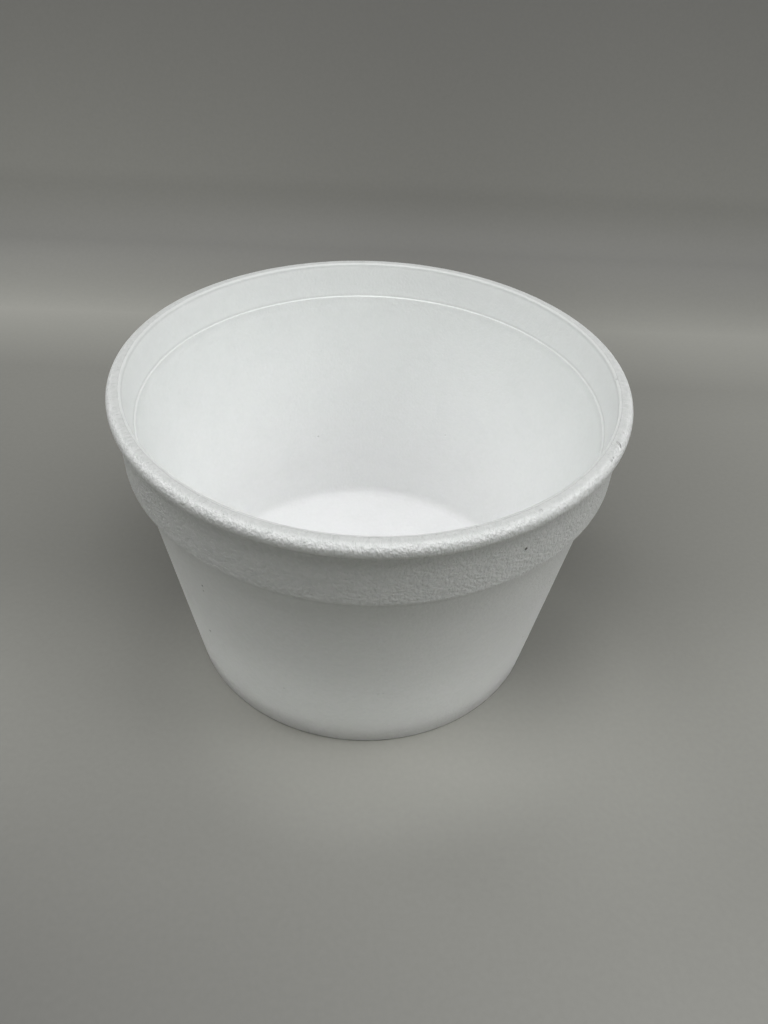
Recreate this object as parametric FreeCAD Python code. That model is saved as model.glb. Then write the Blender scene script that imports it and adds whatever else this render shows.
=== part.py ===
"""Round foam food container, moulded in one piece from fused white polystyrene beads.

The container is one solid, turned about +Z. It stands on a foot ring at z = 0, with the origin at
the centre of that ring. Going up the outside, a tapered wall meets a shoulder, then an upright lid
skirt, then a rolled lip that a lid snaps over. Inside, a narrow step lies a little below the mouth,
and from there down the wall runs beside the outer one to a rounded floor corner. In a stack, the
shoulder of the next container stands on the lip, and its wall just clears the step.

All sizes are in millimetres.
"""

import FreeCAD, Part
import math
import os

NODE = "food_container"

# Overall sizes
lip_diameter = 117.0
height = 77.1
foot_diameter = 90.7

# Rolled lip: a bead with a narrow flat top, a round side and a sloping underside
lip_width = 3.5          # across the top, from the outer side to the mouth
lip_height = 3.9         # from the top down to the groove over the skirt
lip_bevel_height = 1.0   # height of the sloping underside
lip_overhang = 1.5       # how far the bead stands out from the skirt below it
lip_outer_round = 1.9
lip_under_round = 1.2
lip_mouth_round = 0.7
groove_round = 0.3

# Lid skirt: the upright band that a lid grips
skirt_height = 12.95     # from the groove down to the skirt's lower edge
skirt_taper = 0.25       # how much smaller its radius is at the lower edge
skirt_edge_round = 0.9

# Shoulder: the sloping step under the skirt, which stands on the lip below it in a stack
shoulder_depth = 2.35    # how far the wall lies inside the skirt's lower edge
shoulder_height = 1.4
shoulder_round = 1.2

# Step inside the mouth
step_depth = 8.7         # below the lip's top
step_width = 0.65
mouth_draft = 1.2        # how much narrower the mouth is at the step than at the lip
step_crease_round = 0.15
step_edge_round = 0.3

# Floor and foot
floor_thickness = 3.1
wall_at_floor = 2.9      # thickness of the wall where it meets the floor, measured level
floor_corner_round = 2.7
base_recess = 3.0        # how far the underside is sunk inside the foot ring
foot_width = 4.2
foot_outer_round = 0.8
foot_inner_round = 0.9
recess_draft = 0.8       # how far the recess narrows from the foot up to the underside
recess_corner_round = 1.0

# Witness line round the foot, where the base insert of the mould meets its side
witness_height = 4.2
witness_step = 0.08

# Filler mark: the disc that the bead filler leaves in the middle of the underside
filler_mark_diameter = 12.0
filler_mark_height = 0.4
filler_mark_round = 0.15

# Places that follow from the sizes above
lip_radius = lip_diameter / 2
foot_radius = foot_diameter / 2
skirt_top_radius = lip_radius - lip_overhang
skirt_top = height - lip_height
skirt_edge_radius = skirt_top_radius - skirt_taper
skirt_edge = skirt_top - skirt_height
wall_top_radius = skirt_edge_radius - shoulder_depth
wall_top = skirt_edge - shoulder_height
mouth_radius = lip_radius - lip_width
step_outer_radius = mouth_radius - mouth_draft
step_inner_radius = step_outer_radius - step_width
step_level = height - step_depth
floor_level = base_recess + floor_thickness
recess_radius = foot_radius - foot_width


def wall_radius(level):
    """Radius of the tapered outer wall at a level, from the foot up to the shoulder."""
    share = level / wall_top
    return foot_radius + (wall_top_radius - foot_radius) * share


def underside():
    """Corners from the axis out to the foot ring, each as (radius, level, rounding)."""
    mark_radius = filler_mark_diameter / 2
    return [
        (0, base_recess - filler_mark_height, 0),
        (mark_radius, base_recess - filler_mark_height, filler_mark_round),
        (mark_radius, base_recess, filler_mark_round),
        (recess_radius - recess_draft, base_recess, recess_corner_round),
        (recess_radius, 0, foot_inner_round),
    ]


def outer_wall():
    """Corners from the foot ring up to the shoulder, with the witness line as a small step."""
    return [
        (foot_radius - witness_step, 0, foot_outer_round),
        (wall_radius(witness_height) - witness_step, witness_height, 0),
        (wall_radius(witness_height + witness_step), witness_height + witness_step, 0),
        (wall_top_radius, wall_top, shoulder_round),
    ]


def skirt_and_lip():
    """Corners of the lid skirt and of the lip, up to the edge of the mouth."""
    return [
        (skirt_edge_radius, skirt_edge, skirt_edge_round),
        (skirt_top_radius, skirt_top, groove_round),
        (lip_radius, skirt_top + lip_bevel_height, lip_under_round),
        (lip_radius, height, lip_outer_round),
        (mouth_radius, height, lip_mouth_round),
    ]


def inside():
    """Corners from the mouth down past the step to the middle of the floor."""
    return [
        (step_outer_radius, step_level, step_crease_round),
        (step_inner_radius, step_level, step_edge_round),
        (wall_radius(floor_level) - wall_at_floor, floor_level, floor_corner_round),
        (0, floor_level, 0),
    ]


def section_point(corner):
    """A corner of the section as a point in the XZ plane."""
    return FreeCAD.Vector(corner[0], 0, corner[1])


def rounded_section(corners):
    """Closed face through the corners, with each rounding as a tangent arc."""
    edges = []
    start = section_point(corners[0])
    for before, corner, after in zip(corners, corners[1:], corners[2:]):
        point = section_point(corner)
        towards_before = (section_point(before) - point).normalize()
        towards_after = (section_point(after) - point).normalize()
        rounding = corner[2]
        if rounding > 0:
            half_angle = towards_before.getAngle(towards_after) / 2
            tangent = rounding / math.tan(half_angle)
            bisector = (towards_before + towards_after).normalize()
            centre = point + bisector * (rounding / math.sin(half_angle))
            arc_start = point + towards_before * tangent
            arc_end = point + towards_after * tangent
            arc_middle = centre - bisector * rounding
            edges.append(Part.LineSegment(start, arc_start).toShape())
            edges.append(Part.Arc(arc_start, arc_middle, arc_end).toShape())
            start = arc_end
        else:
            edges.append(Part.LineSegment(start, point).toShape())
            start = point
    last = section_point(corners[-1])
    edges.append(Part.LineSegment(start, last).toShape())
    edges.append(Part.LineSegment(last, section_point(corners[0])).toShape())
    return Part.Face(Part.Wire(edges))


def food_container():
    """The whole container, turned about +Z from its section."""
    section = rounded_section(underside() + outer_wall() + skirt_and_lip() + inside())
    return section.revolve(FreeCAD.Vector(0, 0, 0), FreeCAD.Vector(0, 0, 1), 360)


def report(solid):
    """Prints what was made, so that a changed size can be judged at once."""
    box = solid.optimalBoundingBox(False)
    print(f"{NODE}: {box.XLength:.2f} x {box.YLength:.2f} x {box.ZLength:.2f} mm")
    print(f"valid {solid.isValid()}, foam {solid.Volume / 1000:.1f} cm3, faces {len(solid.Faces)}")


os.makedirs("parts", exist_ok=True)
container = food_container()
container.exportStep(os.path.join("parts", NODE + ".step"))
report(container)
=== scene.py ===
# %% [markdown]
# # A foam food container
#
# The object is one thing: a round container, moulded in one shot from small white beads of expanded
# polystyrene. Steam swells the beads against the walls of the mould until they fuse, so every surface
# keeps a fine grain. The lesson builds that one piece as a turned form, gives it the small faults that
# soft foam has, and makes one finish for it. Then it sets the piece on a grey sheet under soft light.
#
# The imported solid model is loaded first, since its sizes are the ones to keep. All lengths in the
# lesson are written in millimetres and turned into metres where Blender gets them.

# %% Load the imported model
import bmesh
import bpy
import math
import mathutils
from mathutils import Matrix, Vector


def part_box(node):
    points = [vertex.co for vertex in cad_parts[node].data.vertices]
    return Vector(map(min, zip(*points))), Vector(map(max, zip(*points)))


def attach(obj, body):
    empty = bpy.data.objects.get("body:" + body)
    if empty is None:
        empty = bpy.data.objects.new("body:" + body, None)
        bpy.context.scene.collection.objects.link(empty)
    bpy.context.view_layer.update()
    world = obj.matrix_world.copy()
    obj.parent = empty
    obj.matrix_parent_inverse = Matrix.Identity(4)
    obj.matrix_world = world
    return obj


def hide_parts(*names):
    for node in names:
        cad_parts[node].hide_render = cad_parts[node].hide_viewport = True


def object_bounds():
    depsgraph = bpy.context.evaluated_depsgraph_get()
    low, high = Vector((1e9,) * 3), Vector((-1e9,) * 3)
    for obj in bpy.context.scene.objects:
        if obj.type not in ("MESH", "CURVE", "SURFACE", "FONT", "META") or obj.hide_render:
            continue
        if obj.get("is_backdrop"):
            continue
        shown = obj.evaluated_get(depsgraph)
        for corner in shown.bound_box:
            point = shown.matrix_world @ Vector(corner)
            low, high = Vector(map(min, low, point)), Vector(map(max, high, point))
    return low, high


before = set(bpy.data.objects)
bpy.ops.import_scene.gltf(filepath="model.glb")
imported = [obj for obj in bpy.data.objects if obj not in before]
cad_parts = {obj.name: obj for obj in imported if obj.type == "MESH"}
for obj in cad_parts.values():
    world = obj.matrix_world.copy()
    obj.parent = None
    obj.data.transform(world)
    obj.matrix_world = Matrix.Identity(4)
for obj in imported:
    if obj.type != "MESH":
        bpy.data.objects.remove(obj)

CAD_BOX = [list(corner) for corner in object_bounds()]
MM = 0.001
NODE = "food_container"
low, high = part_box(NODE)
lip_radius = (high[0] - low[0]) / 2 / MM
height = (high[2] - low[2]) / MM
print(f"lip {2 * lip_radius:.1f} mm across, {height:.1f} mm tall")

# %% [markdown]
# ## Camera
#
# The camera stands close: 17 cm in front of the container's axis and 18 cm above the floor. It looks
# down by about forty degrees, so the mouth, the inside and the front wall all show. So near, a lens of
# 31 mm makes the mouth look much wider than the foot. A camera can be aimed with a Track To
# constraint. Here three angles turn it one after the other instead: each one can be read and changed by
# itself, and the small roll of a camera held in the hand is kept.

# %% Place the camera
CAMERA_PLACE = (0.0, -170.54, 181.33)
CAMERA_YAW, CAMERA_PITCH, CAMERA_ROLL = -0.0253, 0.7091, -0.0510
CAMERA_LENS = 30.694

turn = (mathutils.Matrix.Rotation(CAMERA_YAW, 3, "Z")
        @ mathutils.Matrix.Rotation(-CAMERA_PITCH, 3, "X")
        @ mathutils.Matrix.Rotation(CAMERA_ROLL, 3, "Y")
        @ mathutils.Matrix.Rotation(math.radians(90), 3, "X"))
camera_data = bpy.data.cameras.new("camera")
camera_data.lens = CAMERA_LENS
camera_data.sensor_width = 36.0
camera_data.clip_start = 0.01
camera = bpy.data.objects.new("camera", camera_data)
bpy.context.scene.collection.objects.link(camera)
camera.matrix_world = (mathutils.Matrix.Translation([c * MM for c in CAMERA_PLACE])
                       @ turn.to_4x4())
bpy.context.scene.camera = camera
print("camera looks along", [round(v, 3) for v in -turn.col[2]])

# %% [markdown]
# ## The section of the form
#
# A turned form is known from its section: the line from the middle of the underside, round the foot, up
# the wall, over the lip and down the inside to the middle of the floor. It could be drawn as a curve by
# hand, but a table of corners is easy to check against the solid model, whose place the piece takes.
#
# Going along the table: the underside is hollow and has a round mark where the beads were blown in. The
# foot is a flat ring. The wall leans outward to a shoulder, where a straight skirt stands out, and the
# rolled lip stands out from the skirt. Inside, a narrow step runs round below the lip: a lid would sit
# on it. Each corner has a rounding, and some have a painted shade, which darkens the finish along that
# corner as a line of shade.

# %% Levels and radii
skirt_top = height - 3.9
skirt_edge = skirt_top - 12.95
wall_top = skirt_edge - 1.4
foot_radius, wall_top_radius = 45.35, lip_radius - 4.1
floor_level, step_level = 6.1, height - 8.7


def wall_radius(level):
    return foot_radius + (wall_top_radius - foot_radius) * level / wall_top


print(f"skirt {skirt_top - skirt_edge:.1f} mm tall, wall {wall_top:.1f} mm, floor at {floor_level} mm")

# %% Corners of the section
# (radius, level, rounding, zone of the run that follows, painted shade)
CORNERS = [
    (0.0, 2.6, 0.0, "underside", 0.0),
    (6.0, 2.6, 0.15, "foot", 0.5),
    (6.0, 3.0, 0.15, "underside", 0.0),
    (40.35, 3.0, 1.0, "foot", 0.0),
    (41.15, 0.0, 0.9, "foot", 0.0),
    (foot_radius - 0.02, 0.0, 0.45, "foot", 0.9),
    (wall_radius(4.2) - 0.02, 4.2, 0.0, "foot", 0.0),
    (wall_radius(4.5), 4.5, 0.0, "wall", 0.0),
    (wall_top_radius, wall_top, 1.2, "shoulder", 0.6),
    (lip_radius - 1.75, skirt_edge, 0.9, "skirt", 0.0),
    (lip_radius - 1.5, skirt_top, 0.35, "lip", 0.6),
    (lip_radius, skirt_top + 1.0, 1.2, "lip", 0.0),
    (lip_radius, height, 1.8, "lip", 0.0),
    (lip_radius - 3.4, height, 0.5, "mouth", 0.7),
    (lip_radius - 4.9, step_level, 0.15, "step", 0.55),
    (lip_radius - 5.35, step_level, 0.2, "inner_wall", 0.35),
    (wall_radius(floor_level) - 2.9, floor_level, 2.7, "floor", 0.0),
    (0.0, floor_level, 0.0, "floor", 0.0),
]
print(len(CORNERS), "corners")

# %% [markdown]
# Each corner becomes an arc and each straight run is divided. The rows lie close together on the lip,
# which catches the light, and far apart on the plain wall, so the mesh stays light. A bevel modifier
# could round the corners too, but it can't take another radius for each of them as plainly as a table.

# %% Rows of the section
# distance between two rows of the mesh along each zone and along a rounding, in millimetres
ROW_STEP = {"underside": 3.5, "foot": 0.45, "wall": 1.7, "shoulder": 0.3, "skirt": 0.6, "lip": 0.28,
            "mouth": 0.6, "step": 0.2, "inner_wall": 2.2, "floor": 3.0}
ARC_STEP = 0.3


def rounded_rows(corners):
    """(point, zone, shade) along the section: each rounding as an arc, each run divided by its zone."""
    plan = []
    for index, (radius, level, rounding, zone, shade) in enumerate(corners):
        point = mathutils.Vector((radius, level))
        if rounding == 0.0:
            plan.append((point, zone, shade))
            continue
        to_before = (mathutils.Vector(corners[index - 1][:2]) - point).normalized()
        to_after = (mathutils.Vector(corners[index + 1][:2]) - point).normalized()
        half_angle = to_before.angle(to_after) / 2
        reach = rounding / math.tan(half_angle)
        centre = point + (to_before + to_after).normalized() * rounding / math.sin(half_angle)
        start, end = point + to_before * reach - centre, point + to_after * reach - centre
        sweep = math.pi - 2 * half_angle
        steps = max(3, math.ceil(rounding * sweep / ARC_STEP))
        for step in range(steps + 1):
            share = step / steps
            weight_a = math.sin((1 - share) * sweep) / math.sin(sweep)
            weight_b = math.sin(share * sweep) / math.sin(sweep)
            plan.append((centre + start * weight_a + end * weight_b, zone, shade))
    rows = [plan[0]]
    for (point, zone, shade), (following, next_zone, next_shade) in zip(plan, plan[1:]):
        pieces = max(1, math.ceil((following - point).length / ROW_STEP[zone] - 0.2))
        for piece in range(1, pieces):
            rows.append((point.lerp(following, piece / pieces), zone, 0.0))
        rows.append((following, next_zone, next_shade))
    return rows


rows = rounded_rows(CORNERS)
length = sum((b[0] - a[0]).length for a, b in zip(rows, rows[1:]))
print(f"{len(rows)} rows along a section of {length:.0f} mm")

# %% [markdown]
# ## A tree that turns a section
#
# A lathe can be made with the Screw modifier or with bmesh's spin. Here the form follows a rule, so a
# Geometry Nodes tree makes it: it lays a grid with one column of points for each direction round the
# axis, and moves every point to its place on the section, turned about +Z. The tree has named inputs,
# so the number of columns, the slight lack of roundness and the roughness of the moulded lip are all
# changed in one place.


# %% Helpers for node trees
def add_node(tree, kind, inputs=None, **settings):
    """Adds a node. inputs maps a socket's name or number to a value or to another node's output."""
    node = tree.nodes.new(kind)
    for name, value in settings.items():
        setattr(node, name, value)
    for socket, value in (inputs or {}).items():
        if isinstance(value, bpy.types.NodeSocket):
            tree.links.new(value, node.inputs[socket])
        else:
            node.inputs[socket].default_value = value
    return node


def calculate(tree, operation, *values):
    """One Math node's output."""
    return add_node(tree, "ShaderNodeMath", dict(enumerate(values)), operation=operation).outputs[0]


def calculate_vector(tree, operation, *values, output=0):
    """One Vector Math node's output."""
    node = add_node(tree, "ShaderNodeVectorMath", dict(enumerate(values)), operation=operation)
    return node.outputs[output]


def add_inputs(tree, sockets):
    """Declares a tree's named inputs as {name: (socket type, value)} and returns its input node."""
    for name, (kind, value) in sockets.items():
        socket = tree.interface.new_socket(name, in_out="INPUT", socket_type=kind)
        if value is not None:
            socket.default_value = value
    return tree.nodes.new("NodeGroupInput")


print("node helpers:", ", ".join(f.__name__ for f in (add_node, calculate, calculate_vector, add_inputs)))

# %% [markdown]
# The lip of soft foam is never quite round or level: the piece gives a little as it leaves the warm
# mould. Three lobes and four lobes round the axis push it outward, a saddle lifts it, and one narrow
# bulge sits at the back left. Noise would do as well, but waves round the axis keep the lip smooth, and
# each one has a size in millimetres. All of them grow from nothing at the foot to full size at the lip.


# %% Slow waves round the axis
def wave_offset(tree, given, position):
    """How far each point moves outward and upward."""
    split = add_node(tree, "ShaderNodeSeparateXYZ", {0: position})
    growth = calculate(tree, "MAXIMUM", calculate(tree, "DIVIDE", split.outputs["Z"], given["Height"]), 0.0)
    direction = calculate(tree, "ARCTAN2", split.outputs["Y"], split.outputs["X"])

    def lobes(operation, count, amount):
        turns = calculate(tree, "MULTIPLY", direction, float(count))
        return calculate(tree, "MULTIPLY", calculate(tree, operation, turns), amount)

    off = calculate(tree, "COSINE", calculate(tree, "SUBTRACT", direction, given["Bulge Direction"]))
    narrow = calculate(tree, "POWER", calculate(tree, "MAXIMUM", off, 0.0), 14.0)
    lobed = calculate(tree, "ADD", lobes("SINE", 3, given["Three-lobed"]),
                      lobes("COSINE", 4, given["Four-lobed"]))
    bulged = calculate(tree, "ADD", lobed, calculate(tree, "MULTIPLY", narrow, given["Bulge"]))
    outward = calculate(tree, "MULTIPLY", bulged, growth)
    upward = calculate(tree, "MULTIPLY", lobes("COSINE", 2, given["Saddle"]), growth)
    flat = add_node(tree, "ShaderNodeCombineXYZ", {"X": split.outputs["X"], "Y": split.outputs["Y"]})
    radial = calculate_vector(tree, "NORMALIZE", flat.outputs[0])
    sideways = add_node(tree, "ShaderNodeVectorMath", {0: radial, "Scale": outward}, operation="SCALE")
    lift = add_node(tree, "ShaderNodeCombineXYZ", {"Z": upward})
    return calculate_vector(tree, "ADD", sideways.outputs[0], lift.outputs[0])


print("waves: three lobes, four lobes, a saddle and a bulge")

# %% [markdown]
# A finer noise along the normals gives the uneven skin of fused beads. The beads are packed loosely in
# the thin lip, so it is roughest, the skirt less so, and the wall and the inside are smooth. How much
# each zone gets is kept in a table. It is stored with the section as the attribute "grain", which the
# finish reads as well. The noise has a seed, so the piece is the same every time.

# %% Skin of fused beads
GRAIN = {"underside": 0.3, "foot": 0.3, "wall": 0.25, "shoulder": 0.4, "skirt": 0.72, "lip": 1.0,
         "mouth": 0.15, "step": 0.15, "inner_wall": 0.15, "floor": 0.15}


def skin_offset(tree, given, position, grain):
    """A small push along the normal, as strong as the grain at each point."""
    noise = add_node(tree, "ShaderNodeTexNoise", {
        "Vector": position, "W": given["Seed"], "Scale": calculate(tree, "DIVIDE", 1.0, given["Relief Size"]),
        "Detail": 2.0, "Roughness": 0.6}, noise_dimensions="4D").outputs[0]
    depth = calculate(tree, "MULTIPLY", calculate(tree, "SUBTRACT", noise, 0.62),
                      calculate(tree, "MULTIPLY", given["Relief"], grain))
    normal = add_node(tree, "GeometryNodeInputNormal").outputs[0]
    return add_node(tree, "ShaderNodeVectorMath", {0: normal, "Scale": depth}, operation="SCALE").outputs[0]


print("the lip gets", GRAIN["lip"] / GRAIN["wall"], "times the grain of the wall")

# %% [markdown]
# The tree itself: the grid has one row of points for each row of the section. A point's index gives its
# row and its column. The row picks the place on the section and the column picks the angle. The first
# and the last column lie on each other, and so do all points on the axis, so Merge by Distance closes
# the seam and the two middles. Then the waves and the skin are added, and the material is set.


# %% The turning tree
def turning_tree():
    tree = bpy.data.node_groups.new("turned_form", "GeometryNodeTree")
    given = add_inputs(tree, {
        "Section": ("NodeSocketGeometry", None),
        "Columns": ("NodeSocketInt", 512),
        "Height": ("NodeSocketFloat", 0.0771),
        "Three-lobed": ("NodeSocketFloat", 0.00015),
        "Four-lobed": ("NodeSocketFloat", 0.00012),
        "Saddle": ("NodeSocketFloat", 0.00012),
        "Bulge": ("NodeSocketFloat", 0.00013),
        "Bulge Direction": ("NodeSocketFloat", math.radians(152)),
        "Relief": ("NodeSocketFloat", 0.00010),
        "Relief Size": ("NodeSocketFloat", 0.0016),
        "Seed": ("NodeSocketFloat", 3.0),
        "Material": ("NodeSocketMaterial", None),
    }).outputs
    tree.interface.new_socket("Turned", in_out="OUTPUT", socket_type="NodeSocketGeometry")

    row_count = add_node(tree, "GeometryNodeAttributeDomainSize",
                         {"Geometry": given["Section"]}).outputs["Point Count"]
    grid = add_node(tree, "GeometryNodeMeshGrid", {
        "Size X": 1.0, "Size Y": 1.0, "Vertices Y": row_count,
        "Vertices X": calculate(tree, "ADD", given["Columns"], 1.0)})
    index = add_node(tree, "GeometryNodeInputIndex").outputs[0]
    row = calculate(tree, "FLOORED_MODULO", index, row_count)
    middle = calculate(tree, "ADD", index, 0.5)
    column = calculate(tree, "FLOOR", calculate(tree, "DIVIDE", middle, row_count))
    angle = calculate(tree, "MULTIPLY", calculate(tree, "DIVIDE", column, given["Columns"]), math.tau)
    position = add_node(tree, "GeometryNodeInputPosition").outputs[0]

    def named(name):
        node = add_node(tree, "GeometryNodeInputNamedAttribute", {"Name": name}, data_type="FLOAT")
        return node.outputs[0]

    def from_section(value, kind):
        return add_node(tree, "GeometryNodeSampleIndex", {
            "Geometry": given["Section"], "Value": value, "Index": row}, data_type=kind).outputs["Value"]

    placed = add_node(tree, "ShaderNodeVectorRotate", {
        "Vector": from_section(position, "FLOAT_VECTOR"), "Angle": angle}, rotation_type="Z_AXIS").outputs[0]
    form = add_node(tree, "GeometryNodeSetPosition", {
        "Geometry": grid.outputs["Mesh"], "Position": placed}).outputs[0]
    for name in ("grain", "shade"):
        form = add_node(tree, "GeometryNodeStoreNamedAttribute", {
            "Geometry": form, "Name": name, "Value": from_section(named(name), "FLOAT")},
            data_type="FLOAT", domain="POINT").outputs[0]
    form = add_node(tree, "GeometryNodeMergeByDistance", {"Geometry": form, "Distance": 0.000002}).outputs[0]
    for offset in (wave_offset(tree, given, position), skin_offset(tree, given, position, named("grain"))):
        form = add_node(tree, "GeometryNodeSetPosition", {"Geometry": form, "Offset": offset}).outputs[0]
    form = add_node(tree, "GeometryNodeSetShadeSmooth", {"Geometry": form}).outputs[0]
    form = add_node(tree, "GeometryNodeRealizeInstances", {"Geometry": form}).outputs[0]
    form = add_node(tree, "GeometryNodeSetMaterial", {
        "Geometry": form, "Material": given["Material"]}).outputs[0]
    add_node(tree, "NodeGroupOutput", {"Turned": form})
    return tree


turned_form = turning_tree()
print(len(turned_form.nodes), "nodes in the turning tree")

# %% [markdown]
# ## The finish
#
# White bead foam is close to pure scattering: light goes a few millimetres into it and comes out again,
# so the wall glows a little where its other side is brightly lit. On top lies the relief of the fused
# beads. Painted textures could show it, but a node group needs no unwrapping and stays sharp close up.
# The group below puts out two values: the height of the skin and a tone for each bead. Its cells are
# the beads. On the lip the beads are drawn out into short streaks across it, since the mould's two
# halves meet there, so the group can mix the cells with streaks.

# %% Group for fused beads
def value_group(name, inputs, outputs):
    """An empty shader group with named inputs and outputs, and its two end nodes."""
    tree = bpy.data.node_groups.new(name, "ShaderNodeTree")
    given = add_inputs(tree, inputs)
    for label, kind in outputs.items():
        tree.interface.new_socket(label, in_out="OUTPUT", socket_type=kind)
    return tree, given.outputs, tree.nodes.new("NodeGroupOutput")


def fused_beads_group():
    tree, given, result = value_group("fused_beads", {
        "Vector": ("NodeSocketVector", None),
        "Bead Size": ("NodeSocketFloat", 0.0009),
        "Streaks": ("NodeSocketFloat", 0.0),
    }, {"Height": "NodeSocketFloat", "Tone": "NodeSocketFloat"})
    scale = calculate(tree, "DIVIDE", 1.0, given["Bead Size"])
    cells = add_node(tree, "ShaderNodeTexVoronoi", {"Vector": given["Vector"], "Scale": scale},
                     feature="SMOOTH_F1")
    cells.inputs["Smoothness"].default_value = 0.35
    tone = add_node(tree, "ShaderNodeSeparateColor", {0: cells.outputs["Color"]}).outputs[0]
    skin = add_node(tree, "ShaderNodeTexNoise", {
        "Vector": given["Vector"], "Scale": calculate(tree, "MULTIPLY", scale, 1.7),
        "Detail": 3.0, "Roughness": 0.6}).outputs[0]
    rounded = calculate(tree, "ADD", skin, calculate(tree, "MULTIPLY", cells.outputs["Distance"], -0.5))

    # streaks run across the lip, so they change fast round the axis and slowly along the section
    split = add_node(tree, "ShaderNodeSeparateXYZ", {0: given["Vector"]})
    flat = add_node(tree, "ShaderNodeCombineXYZ", {"X": split.outputs["X"], "Y": split.outputs["Y"]})
    outward = calculate_vector(tree, "LENGTH", flat.outputs[0], output="Value")
    along = calculate(tree, "MULTIPLY", calculate(tree, "SUBTRACT", split.outputs["Z"], outward), 0.45)
    rim = add_node(tree, "ShaderNodeVectorMath", {
        0: calculate_vector(tree, "NORMALIZE", flat.outputs[0]), "Scale": lip_radius * MM}, operation="SCALE")
    lift = add_node(tree, "ShaderNodeCombineXYZ", {"Z": along}).outputs[0]
    streak = add_node(tree, "ShaderNodeTexNoise", {
        "Vector": calculate_vector(tree, "ADD", rim.outputs[0], lift),
        "Scale": calculate(tree, "MULTIPLY", scale, 1.7), "Detail": 2.0, "Roughness": 0.65}).outputs[0]
    mixed = add_node(tree, "ShaderNodeMix", {0: given["Streaks"], 2: rounded, 3: streak}, data_type="FLOAT")
    tree.links.new(mixed.outputs[0], result.inputs["Height"])
    tree.links.new(tone, result.inputs["Tone"])
    return tree


fused_beads = fused_beads_group()
print("fused_beads has", len(fused_beads.nodes), "nodes")

# %% [markdown]
# The specks are dirt in the beads: a few dark points smaller than half a millimetre. Some beads near
# the foot are only sunk, and the lip has a few nicks and one curved burr. They could be painted by hand
# or scattered by chance. Here each mark is set down by its place on the container, so the group is a
# short chain of distances. It puts out two masks: how dark the mark is, and how far it sinks or rises.

# %% Group for specks, pits and nicks
# (x, y, z, radius in millimetres, darkness, rise), the places worked out beforehand and rounded
MARKS = [
    (-34.9, -39.1, 45.8, 0.30, 0.9, -0.3), (-34.9, -38.6, 43.8, 0.24, 0.6, -0.3),
    (-35.9, -33.7, 25.3, 0.32, 0.8, -0.3), (-17.7, -45.0, 19.2, 0.32, 0.12, -0.6),
    (3.8, -48.8, 23.3, 0.28, 0.12, -0.6), (4.9, -48.7, 23.2, 0.24, 0.10, -0.6),
    (30.7, -47.8, 67.9, 0.34, 1.0, -0.5), (42.0, -30.1, 41.6, 0.28, 0.35, -0.5),
    (38.7, -29.5, 22.0, 0.28, 0.35, -0.5), (-15.6, 43.8, 26.5, 0.26, 0.12, -0.4),
    (22.3, 41.5, 30.2, 0.26, 0.12, -0.4),
    (49.3, -29.7, 77.0, 0.26, 0.35, -0.6), (48.55, -30.55, 77.0, 0.28, 0.0, 0.6),
    (49.45, -30.5, 77.0, 0.24, 0.0, 0.6), (53.1, -21.1, 77.0, 0.35, 0.0, -0.5),
    (55.5, 0.0, 77.0, 0.30, 0.0, -0.5), (32.3, -47.1, 77.0, 0.35, 0.05, -0.5),
]
# the burr: a short arc of raised points on the lip
BURR_X, BURR_Y, BURR_RADIUS = 47.4, -26.7, 4.15
MARKS += [(BURR_X + BURR_RADIUS * math.cos(math.radians(turned)),
           BURR_Y + BURR_RADIUS * math.sin(math.radians(turned)),
           77.0, 0.26, 0.0, 0.8) for turned in range(-30, 31, 4)]


def marks_group():
    tree, given, result = value_group("marks", {
        "Vector": ("NodeSocketVector", None)}, {"Dark": "NodeSocketFloat", "Rise": "NodeSocketFloat"})
    dark, rise = None, None
    for x, y, z, radius, darkness, amount in MARKS:
        distance = calculate_vector(tree, "DISTANCE", given["Vector"], (x * MM, y * MM, z * MM),
                                    output="Value")
        inside = add_node(tree, "ShaderNodeMapRange", {
            "Value": distance, "From Min": radius * 1.4 * MM, "From Max": radius * 0.4 * MM},
            interpolation_type="SMOOTHSTEP").outputs[0]
        if darkness:
            here = calculate(tree, "MULTIPLY", inside, darkness)
            dark = here if dark is None else calculate(tree, "MAXIMUM", dark, here)
        here = calculate(tree, "MULTIPLY", inside, amount)
        rise = here if rise is None else calculate(tree, "ADD", rise, here)
    tree.links.new(dark, result.inputs["Dark"])
    tree.links.new(rise, result.inputs["Rise"])
    return tree


marks = marks_group()
print(len(MARKS), "marks set down")

# %% [markdown]
# One Principled shader carries the foam. Its colour is a cool white with soft clouds and a slight change
# from bead to bead. Two painted shades darken it: the shade stored along the corners, and the flat top
# of the lip, painted darker the more it faces up. The colour is worked out first, by itself.


# %% Colour of the foam
DEEP_BEAD = (0.905, 0.928, 0.917, 1.0)
PALE_BEAD = (0.976, 0.992, 0.985, 1.0)
# painted shade: the grey that the shaded corners and the lip's flat top are blended toward
PAINTED_SHADE_GREY = (0.42, 0.43, 0.42, 1.0)
BURR = (0.97, 0.98, 0.975, 1.0)
DIRT = (0.05, 0.047, 0.042, 1.0)
CLOUD_SCALE = 90.0
SHADE_SHARE, TOP_SHARE = 0.50, 0.50


def blend(tree, share, first, second):
    """A colour between two, by a share from 0 to 1."""
    node = add_node(tree, "ShaderNodeMix", {"Factor": share, 6: first, 7: second}, data_type="RGBA")
    return node.outputs[2]


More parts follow.
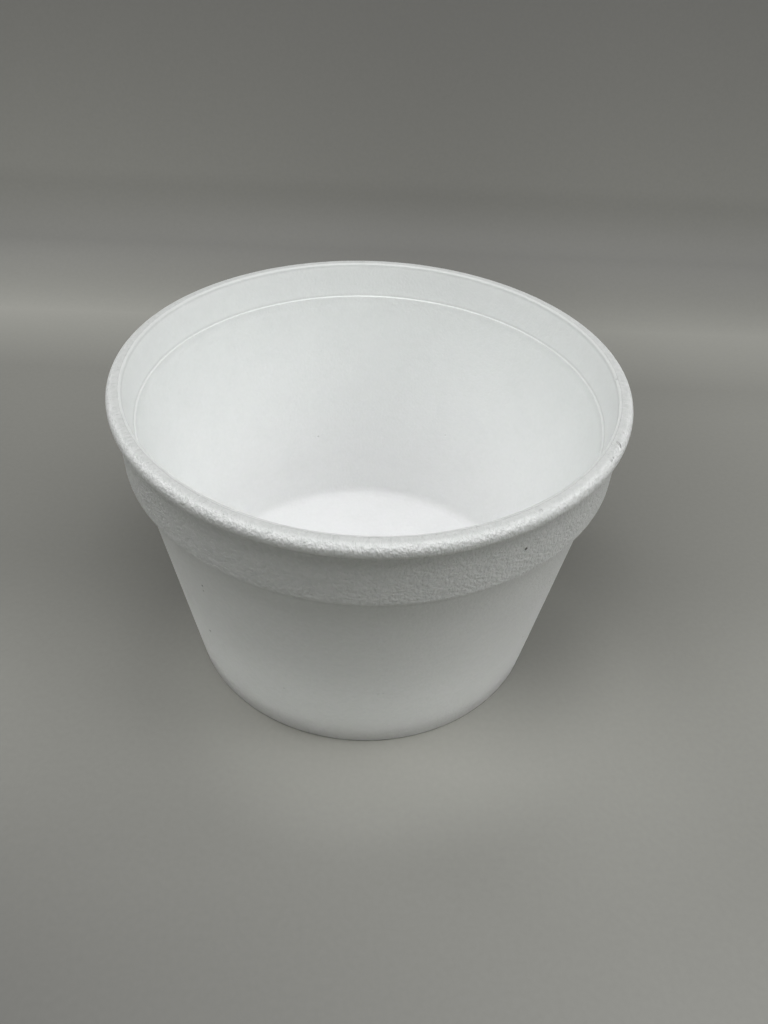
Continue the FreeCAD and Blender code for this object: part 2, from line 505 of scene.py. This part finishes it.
def foam_colour(tree, place, grain, on_lip, beads, spots):
    clouds = add_node(tree, "ShaderNodeTexNoise", {
        "Vector": place, "Scale": CLOUD_SCALE, "Detail": 3.0, "Roughness": 0.55}).outputs[0]
    bead_tone = calculate(tree, "MULTIPLY", calculate(tree, "SUBTRACT", beads.outputs["Tone"], 0.5),
                          calculate(tree, "MULTIPLY", grain, 2.2))
    colour = blend(tree, calculate(tree, "ADD", clouds, bead_tone), DEEP_BEAD, PALE_BEAD)
    # painted shade: darker along the shaded corners and on the lip's flat top, the more it faces up
    shade = add_node(tree, "ShaderNodeAttribute", attribute_name="shade").outputs["Fac"]
    facing = add_node(tree, "ShaderNodeTexCoord").outputs["Normal"]
    tilt = add_node(tree, "ShaderNodeSeparateXYZ", {0: facing}).outputs["Z"]
    upward = calculate(tree, "MAXIMUM", tilt, 0.0)
    top = calculate(tree, "MULTIPLY", on_lip, calculate(tree, "POWER", upward, 8.0))
    shadowed = calculate(tree, "ADD", calculate(tree, "MULTIPLY", shade, SHADE_SHARE),
                         calculate(tree, "MULTIPLY", top, TOP_SHARE))
    colour = blend(tree, shadowed, colour, PAINTED_SHADE_GREY)
    raised = add_node(tree, "ShaderNodeMapRange", {
        "Value": spots.outputs["Rise"], "From Min": 0.2, "From Max": 0.8}).outputs[0]
    colour = blend(tree, raised, colour, BURR)
    return blend(tree, spots.outputs["Dark"], colour, DIRT)


print("foam colour: clouds, beads, creases, burr and specks")

# %% [markdown]
# Then the light's way through the foam. A volume shader would follow each ray in the beads and take very
# long, so the Principled shader's subsurface scattering does it. The lower wall is thin and has a bright
# inside, so light comes through it. The skirt and the lip are thicker and hide it. That is why both the
# amount and the depth of the scattering grow from the lip to the foot. In the lowest few millimetres
# the depth gets small again, since light would otherwise leak out under the foot.


# %% Material of the foam
# levels in millimetres between which the scattering changes, and its depths in metres
HIGH_LEVEL, LOW_LEVEL = 62, 18
SHALLOW, DEEP = 0.0030, 0.0085


def by_level(tree, level, start, end):
    """A value that changes from one level to another: (level in millimetres, value) at both ends."""
    return add_node(tree, "ShaderNodeMapRange", {
        "Value": level, "From Min": start[0] * MM, "From Max": end[0] * MM,
        "To Min": start[1], "To Max": end[1]}).outputs[0]


def foam_material():
    material = bpy.data.materials.new("bead_foam")
    material.use_nodes = True
    tree = material.node_tree
    shader = tree.nodes["Principled BSDF"]
    place = add_node(tree, "ShaderNodeTexCoord").outputs["Object"]
    grain = add_node(tree, "ShaderNodeAttribute", attribute_name="grain").outputs["Fac"]
    on_lip = add_node(tree, "ShaderNodeMapRange", {
        "Value": grain, "From Min": 0.75, "From Max": 0.97}).outputs[0]
    beads = add_node(tree, "ShaderNodeGroup", {}, node_tree=fused_beads)
    tree.links.new(place, beads.inputs["Vector"])
    tree.links.new(calculate(tree, "MULTIPLY", on_lip, 0.8), beads.inputs["Streaks"])
    spots = add_node(tree, "ShaderNodeGroup", {}, node_tree=marks)
    tree.links.new(place, spots.inputs["Vector"])
    tree.links.new(foam_colour(tree, place, grain, on_lip, beads, spots), shader.inputs["Base Color"])

    relief = calculate(tree, "ADD", calculate(tree, "MULTIPLY", beads.outputs["Height"], grain),
                       calculate(tree, "MULTIPLY", spots.outputs["Rise"], 0.9))
    bump = add_node(tree, "ShaderNodeBump", {"Height": relief, "Strength": 1.0, "Distance": 0.00060})
    tree.links.new(bump.outputs[0], shader.inputs["Normal"])
    shader.inputs["Roughness"].default_value = 0.38

    level = add_node(tree, "ShaderNodeSeparateXYZ", {0: place}).outputs["Z"]
    weight = by_level(tree, level, (HIGH_LEVEL, 0.22), (LOW_LEVEL, 0.95))
    tree.links.new(weight, shader.inputs["Subsurface Weight"])
    depth = calculate(tree, "MINIMUM", by_level(tree, level, (HIGH_LEVEL, SHALLOW), (LOW_LEVEL, DEEP)),
                      by_level(tree, level, (0.5, SHALLOW / 2), (4, DEEP)))
    tree.links.new(depth, shader.inputs["Subsurface Scale"])
    shader.inputs["Subsurface Radius"].default_value = (0.94, 0.97, 0.92)
    return material


foam = foam_material()
print("foam material has", len(foam.node_tree.nodes), "nodes")

# %% [markdown]
# ## The container
#
# Now the parts come together. The rows of the section become a small mesh of edges, with the grain and
# the shade of each row as attributes. The turning tree could stay on the object as a live modifier. It
# is evaluated once instead and read back as a plain mesh, since the model is handed on to programs that
# know nothing of modifiers. The inputs are set by the socket's identifier before that.

# %% Section as a mesh
section_mesh = bpy.data.meshes.new("section")
section_mesh.from_pydata([(point.x * MM, 0.0, point.y * MM) for point, zone, shade in rows],
                         [(i, i + 1) for i in range(len(rows) - 1)], [])
section_mesh.attributes.new("grain", "FLOAT", "POINT").data.foreach_set(
    "value", [GRAIN[zone] for point, zone, shade in rows])
section_mesh.attributes.new("shade", "FLOAT", "POINT").data.foreach_set(
    "value", [shade for point, zone, shade in rows])
section_object = bpy.data.objects.new("section", section_mesh)
bpy.context.scene.collection.objects.link(section_object)
print(len(section_mesh.vertices), "points with", [a.name for a in section_mesh.attributes])


# %% Turn the section
def set_input(modifier, name, value):
    """Sets a tree's input on a modifier by the socket's identifier."""
    for item in modifier.node_group.interface.items_tree:
        if item.item_type == "SOCKET" and item.in_out == "INPUT" and item.name == name:
            modifier[item.identifier] = value
            return
    raise KeyError(name)


modifier = section_object.modifiers.new("turn", "NODES")
modifier.node_group = turned_form
set_input(modifier, "Height", height * MM)
set_input(modifier, "Material", foam)
evaluated = section_object.evaluated_get(bpy.context.evaluated_depsgraph_get())
cup_mesh = bpy.data.meshes.new_from_object(evaluated)
section_object.modifiers.remove(modifier)
bpy.data.objects.remove(section_object)
print(len(cup_mesh.vertices), "points,", len(cup_mesh.polygons), "faces")

# %% [markdown]
# A closed surface whose faces look outward has a volume above zero, so one number tells whether the
# faces have to be flipped, and every edge must have two faces. The object stays at the origin, neither
# turned nor scaled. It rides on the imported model's root and takes the place of its one solid.

# %% Check the faces and place the container
bm = bmesh.new()
bm.from_mesh(cup_mesh)
if bm.calc_volume(signed=True) < 0:
    bmesh.ops.reverse_faces(bm, faces=bm.faces)
print(f"{bm.calc_volume() * 1e6:.1f} cm3 of foam,", sum(len(e.link_faces) != 2 for e in bm.edges),
      "open edges,", sum(len(f.verts) - 2 for f in bm.faces), "triangles")
bm.to_mesh(cup_mesh)
bm.free()
cup = bpy.data.objects.new("foam_container", cup_mesh)
bpy.context.scene.collection.objects.link(cup)
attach(cup, "root")
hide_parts(NODE)

# %% [markdown]
# ## The sheet it stands on
#
# The container stands on a wide grey sheet. A flat plane would end in a hard horizon. A sheet that lies
# flat, bends up behind the container and leans back gives a soft backdrop. Its darker tone is painted
# shade, and the faint band of light where it bends is painted sheen.


# %% Shape of the sheet
def sweep_mesh():
    half_width, bend_start, bend_radius, lean, steps = 1.6, 0.165, 0.06, math.radians(65), 24
    line = [(-half_width, 0.0), (-0.4, 0.0), (0.0, 0.0), (bend_start, 0.0)]
    for step in range(1, steps + 1):
        angle = lean * step / steps
        line.append((bend_start + bend_radius * math.sin(angle), bend_radius * (1 - math.cos(angle))))
    end_y, end_z = line[-1]
    for run in (0.05, 0.15, 0.45):
        line.append((end_y + run * math.cos(lean), end_z + run * math.sin(lean)))
    count = len(line)
    mesh = bpy.data.meshes.new("sweep")
    mesh.from_pydata([(x, y, z) for x in (-half_width, half_width) for y, z in line], [],
                     [(i, count + i, count + i + 1, i + 1) for i in range(count - 1)])
    mesh.shade_smooth()
    return mesh


sweep = bpy.data.objects.new("sweep", sweep_mesh())
bpy.context.scene.collection.objects.link(sweep)
print(f"sheet {sweep.dimensions.x:.1f} m wide and {sweep.dimensions.z * 1000:.0f} mm tall at the back")

# %% [markdown]
# The sheet's tone isn't even: it is paler near the foot, where a satin surface throws back the light
# that comes off the container, and it has a pale band where it bends up and gets darker above that. A
# real satin surface would need its gloss worked out for each lamp. Soft ramps and spots in the paint do
# the same and are easy to move: the pale places are painted light and the dark ones painted shade. All
# of them are factors of one grey. The back comes first: a colour ramp with a few stops from the flat
# sheet up the back, with painted shade in the middle and at the right.


# %% Tone behind the container
def ramp(tree, value, start, end, low, high, soft=False):
    """A value that runs from low to high while another runs from start to end."""
    kind = "SMOOTHSTEP" if soft else "LINEAR"
    return add_node(tree, "ShaderNodeMapRange", {
        "Value": value, "From Min": start, "From Max": end, "To Min": low, "To Max": high},
        interpolation_type=kind).outputs[0]


# (millimetres behind the axis, tone): the flat sheet, its painted pale band of sheen, the bend and the rise,
# which is painted darker.
# The places were chosen, and the tones and the two shares below were fitted and rounded.
BACK_STOPS = [(50, 1.0), (120, 1.07), (165, 1.6), (204, 0.78), (222, 1.09), (260, 0.63)]
# painted shade: the back is darker at the right and in the middle
RIGHT_DARKER, MIDDLE_DARKER = 0.22, 0.10
MIDDLE_X, SIDE_X = 20, 150


def back_tone(tree, x, y):
    first, last = BACK_STOPS[0][0], BACK_STOPS[-1][0]
    node = add_node(tree, "ShaderNodeValToRGB", {0: ramp(tree, y, first * MM, last * MM, 0.0, 1.0)})
    elements = node.color_ramp.elements
    elements[0].color = (BACK_STOPS[0][1],) * 3 + (1.0,)
    elements[1].color = (BACK_STOPS[-1][1],) * 3 + (1.0,)
    for place, tone in BACK_STOPS[1:-1]:
        elements.new((place - first) / (last - first)).color = (tone, tone, tone, 1.0)
    off_middle = calculate(tree, "ABSOLUTE", calculate(tree, "SUBTRACT", x, MIDDLE_X * MM))
    darker = calculate(tree, "ADD", ramp(tree, x, -SIDE_X * MM, SIDE_X * MM, 0.0, RIGHT_DARKER),
                       ramp(tree, off_middle, SIDE_X * MM, 0.0, 0.0, MIDDLE_DARKER, soft=True))
    darker = calculate(tree, "MULTIPLY", darker, ramp(tree, y, 100 * MM, 165 * MM, 0.0, 1.0))
    return calculate(tree, "MULTIPLY", node.outputs[0], calculate(tree, "SUBTRACT", 1.0, darker))


print(len(BACK_STOPS), "stops up the back, the palest", max(tone for place, tone in BACK_STOPS))

# %% [markdown]
# In front, the tone is one left-to-right ramp of painted light with a few soft spots added: a painted
# pool of light round the foot, painted light at its right, and two painted shadows where the container
# keeps the light off. A painted band of reflected light crosses under the container and the near left
# corner has painted shade. A fine grit breaks up the even grey.


# %% Tone of the whole sheet
# painted light where the amount is above zero, painted shadow where it is below zero
# (x, y, reach in millimetres, how much paler, or darker below zero), fitted and rounded
SPOTS = {
    "pool round the foot": (5, -17, 65, 1.35),
    "painted light at the right": (54, -47, 50, 0.24),
    "shadow at the right of the foot": (33, -18, 39, -0.77),
    "shadow behind": (27, 84, 149, -0.37),
}
# a painted band of reflected light, and painted shade in the near left corner
BAND_PLACE, BAND_REACH = -28, 50
CORNER_DARKER = 0.37


def sheet_tone(tree, place):
    split = add_node(tree, "ShaderNodeSeparateXYZ", {0: place})
    x, y = split.outputs["X"], split.outputs["Y"]
    # painted light, paler from left to right
    tone = ramp(tree, x, -100 * MM, 100 * MM, 0.90, 1.04)
    for spot_x, spot_y, reach, amount in SPOTS.values():
        away = calculate_vector(tree, "DISTANCE", place, (spot_x * MM, spot_y * MM, 0.0), output="Value")
        tone = calculate(tree, "ADD", tone, ramp(tree, away, reach * MM, 0.0, 0.0, amount, soft=True))
    # painted band of reflected light under the container
    away = calculate(tree, "ABSOLUTE", calculate(tree, "SUBTRACT", y, BAND_PLACE * MM))
    band = calculate(tree, "MULTIPLY", ramp(tree, away, BAND_REACH * MM, 0.0, 0.0, 1.0, soft=True),
                     ramp(tree, x, -100 * MM, 100 * MM, 0.25, 0.18))
    # painted shade in the near left corner
    corner = calculate(tree, "MULTIPLY", ramp(tree, x, -100 * MM, 60 * MM, CORNER_DARKER, 0.0),
                       ramp(tree, y, -50 * MM, -120 * MM, 0.0, 1.0, soft=True))
    tone = calculate(tree, "SUBTRACT", calculate(tree, "ADD", tone, band), corner)
    grit = ramp(tree, add_node(tree, "ShaderNodeTexNoise", {
        "Vector": place, "Scale": 700.0, "Detail": 2.0}).outputs[0], 0.2, 0.8, 0.97, 1.03)
    return calculate(tree, "MULTIPLY", calculate(tree, "MULTIPLY", tone, back_tone(tree, x, y)), grit)


print("tone of the sheet:", ", ".join(SPOTS), "and a band")

# %% [markdown]
# The paint is satin. Its back side is clear to the camera, so the container can also be looked at from
# behind the sheet. Turning the sheet off for those views would do too, but the light would change.


# %% Paint of the sheet
BLACK = (0.0, 0.0, 0.0, 1.0)
SHEET_GREY = (0.268, 0.267, 0.246, 1.0)


def sheet_paint():
    material = bpy.data.materials.new("sheet_paint")
    material.use_nodes = True
    tree = material.node_tree
    shader = tree.nodes["Principled BSDF"]
    place = add_node(tree, "ShaderNodeTexCoord").outputs["Object"]
    colour = add_node(tree, "ShaderNodeMix", {
        "Factor": sheet_tone(tree, place), 6: BLACK, 7: SHEET_GREY}, data_type="RGBA", clamp_factor=False)
    tree.links.new(colour.outputs[2], shader.inputs["Base Color"])
    shader.inputs["Roughness"].default_value = 0.5
    hidden = calculate(tree, "MULTIPLY", add_node(tree, "ShaderNodeNewGeometry").outputs["Backfacing"],
                       add_node(tree, "ShaderNodeLightPath").outputs["Is Camera Ray"])
    clear = add_node(tree, "ShaderNodeBsdfTransparent")
    mixed = add_node(tree, "ShaderNodeMixShader", {0: hidden, 1: shader.outputs[0], 2: clear.outputs[0]})
    tree.links.new(mixed.outputs[0], tree.nodes["Material Output"].inputs["Surface"])
    return material


sweep.data.materials.append(sheet_paint())
sweep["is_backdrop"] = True
print("paint has", len(sweep.data.materials[0].node_tree.nodes), "nodes")

# %% [markdown]
# ## Light
#
# The light is that of a room with wide lamps in the ceiling. Five soft boxes hang in a row above the
# container, from the left over the middle to the right, and a weak one stands low in front of it.
# One big dome would be simpler, but it would flatten everything: a row overhead keeps the inside
# bright, lets the skirt fall into half-shade and draws the fine line of light on the lip. The powers
# are low enough that the white foam never clips. A dim, slightly yellow surrounding fills the shadows.


# %% Soft boxes
AIM_PLACE = mathutils.Vector((0.0, 0.0, 0.04))


def softbox(name, place, size, power):
    """A rectangular area lamp aimed at the middle of the container."""
    data = bpy.data.lights.new(name, "AREA")
    data.shape = "RECTANGLE"
    data.size, data.size_y = size
    data.energy = power
    light = bpy.data.objects.new(name, data)
    light.location = place
    aim = AIM_PLACE - light.location
    light.rotation_euler = aim.to_track_quat("-Z", "Y").to_euler()
    bpy.context.scene.collection.objects.link(light)
    return light


lamps = [softbox(name, place, size, power) for name, place, size, power in (
    ("front_fill", (-0.10, -0.95, 0.30), (0.6, 0.4), 0.32),
    ("far_left", (-1.0, -0.20, 0.75), (0.5, 0.5), 1.1),
    ("left", (-0.5, 0.08, 0.95), (0.5, 0.5), 2.6),
    ("middle", (0.0, -0.18, 0.95), (0.5, 0.5), 3.5),
    ("right", (0.5, -0.04, 0.95), (0.5, 0.5), 2.9),
    ("far_right", (1.0, -0.20, 0.75), (0.5, 0.5), 2.1))]
lamps[0].data.color = (0.97, 1.0, 0.92)
print(len(lamps), "lamps,", round(sum(lamp.data.energy for lamp in lamps), 2), "W in all")

# %% Surrounding and tones
world = bpy.data.worlds.new("studio")
world.use_nodes = True
background = world.node_tree.nodes["Background"]
background.inputs["Color"].default_value = (0.98, 1.0, 0.92, 1.0)
background.inputs["Strength"].default_value = 0.035
bpy.context.scene.world = world
bpy.context.scene.view_settings.view_transform = "Standard"
print("tones shown with the", bpy.context.scene.view_settings.view_transform, "transform")

# %% [markdown]
#
# The box round everything was measured right after loading, when only the solid model was there. It is
# measured again now that the foam piece has taken the solid's place. The two should differ by no more
# than the waves and the relief.

# %% Measure and finish
VISUAL_BOX = [list(corner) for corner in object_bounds()]
difference = max(abs(a - b) for cad, visual in zip(CAD_BOX, VISUAL_BOX) for a, b in zip(cad, visual))
print(f"the two boxes differ by {difference / MM:.2f} mm at most")
